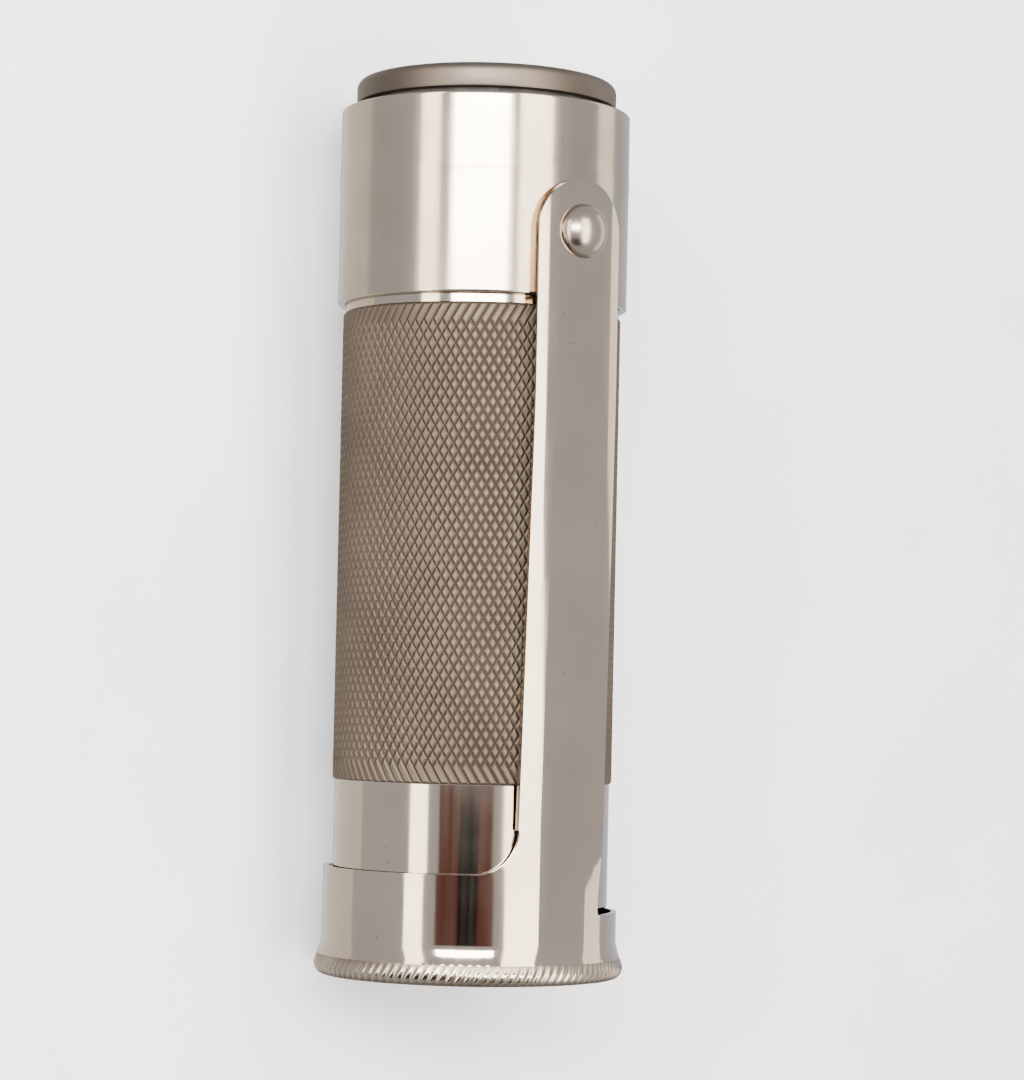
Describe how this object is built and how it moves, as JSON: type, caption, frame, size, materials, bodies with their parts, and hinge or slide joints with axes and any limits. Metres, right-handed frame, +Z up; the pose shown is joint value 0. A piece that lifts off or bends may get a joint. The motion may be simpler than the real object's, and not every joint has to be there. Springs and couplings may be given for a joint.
{
  "type": "pocket lighter",
  "caption": "Cylindrical petrol pocket lighter with a knurled body, a screw base and a snuffer cap on a long arm that swings aside about a rivet.",
  "frame": {"origin": "bottom centre of the bounding box, on the surface the lighter lies on", "axes": "+Z up, through the arm's rivet; +Y along the lighter, towards the base plug; the cap end is at -Y and the cap swings open towards -X"},
  "size_m": [0.0214, 0.0622, 0.0228],
  "materials": {
    "nickel_plate": "worn nickel plate on brass, fine scratches",
    "knurled_plate": "worn nickel plate on a diamond-knurled brass tube",
    "bare_brass": "bare brass, darkened by fuel",
    "blued_steel": "hardened serrated steel",
    "bright_steel": "plain steel",
    "felt": "pressed wool felt",
    "cotton": "cotton wadding",
    "wick_cord": "braided cotton wick, sooty at its tip",
    "seal_rubber": "aged rubber",
    "ferrocerium": "ferrocerium, dull dark grey"
  },
  "bodies": {
    "case": {"tank_tube": "knurled_plate", "base_band": "nickel_plate", "filler_ring": "bare_brass", "burner_plate": "bare_brass", "wick_tube": "bare_brass", "wick": "wick_cord", "flint_tube": "bare_brass", "wheel_bracket": "nickel_plate", "bracket_screws": "bright_steel", "wheel_axle": "bright_steel", "arm_rivet": "nickel_plate", "backing_washer": "bright_steel", "arm_washer": "bright_steel", "cotton_wadding": "cotton", "felt_disc": "felt"},
    "cap": {"cap_arm": "nickel_plate", "cap_end_disc": "nickel_plate", "pad_holder": "bare_brass", "snuffer_pad": "felt"},
    "wheel": {"striker_wheel": "blued_steel", "thumb_discs": "bright_steel"},
    "flint_stack": {"flint": "ferrocerium", "flint_follower": "bare_brass"},
    "screw_travel": {"flint_spring": "bright_steel"},
    "screw": {"flint_screw": "bare_brass"},
    "plug_travel": {"plug_gasket": "seal_rubber"},
    "plug": {"base_plug": "nickel_plate"}
  },
  "joints": [
    {"name": "cap_swing", "type": "hinge", "parent": "case", "child": "cap", "pos_m": [0, 0.01947, 0.02106], "axis": [0, 0, -1], "range_deg": [0, 180]},
    {"name": "wheel_spin", "type": "hinge", "parent": "case", "child": "wheel", "pos_m": [0, -0.02347, 0.00646], "axis": [1, 0, 0], "continuous": true},
    {"name": "flint_feed", "type": "slide", "parent": "case", "child": "flint_stack", "axis": [0, 1, 0], "range_m": [0, 0.0015], "stiffness_N_per_m": 100, "springref_m": -0.012, "deforming": ["flint_spring"]},
    {"name": "flint_screw_out", "type": "slide", "parent": "case", "child": "screw_travel", "axis": [0, 1, 0], "range_m": [0, 0.004]},
    {"name": "flint_screw_turn", "type": "hinge", "parent": "screw_travel", "child": "screw", "pos_m": [0, 0.02258, 0.00646], "axis": [0, 1, 0], "range_deg": [0, 2880]},
    {"name": "plug_out", "type": "slide", "parent": "case", "child": "plug_travel", "axis": [0, 1, 0], "range_m": [0, 0.006]},
    {"name": "plug_turn", "type": "hinge", "parent": "plug_travel", "child": "plug", "pos_m": [0, 0.02857, 0.01066], "axis": [0, 1, 0], "range_deg": [0, 2880]}
  ],
  "couplings": [
    {"joint": "flint_screw_turn", "follows": "flint_screw_out", "rad_per_m": 12566},
    {"joint": "plug_turn", "follows": "plug_out", "rad_per_m": 8377.6}
  ]
}
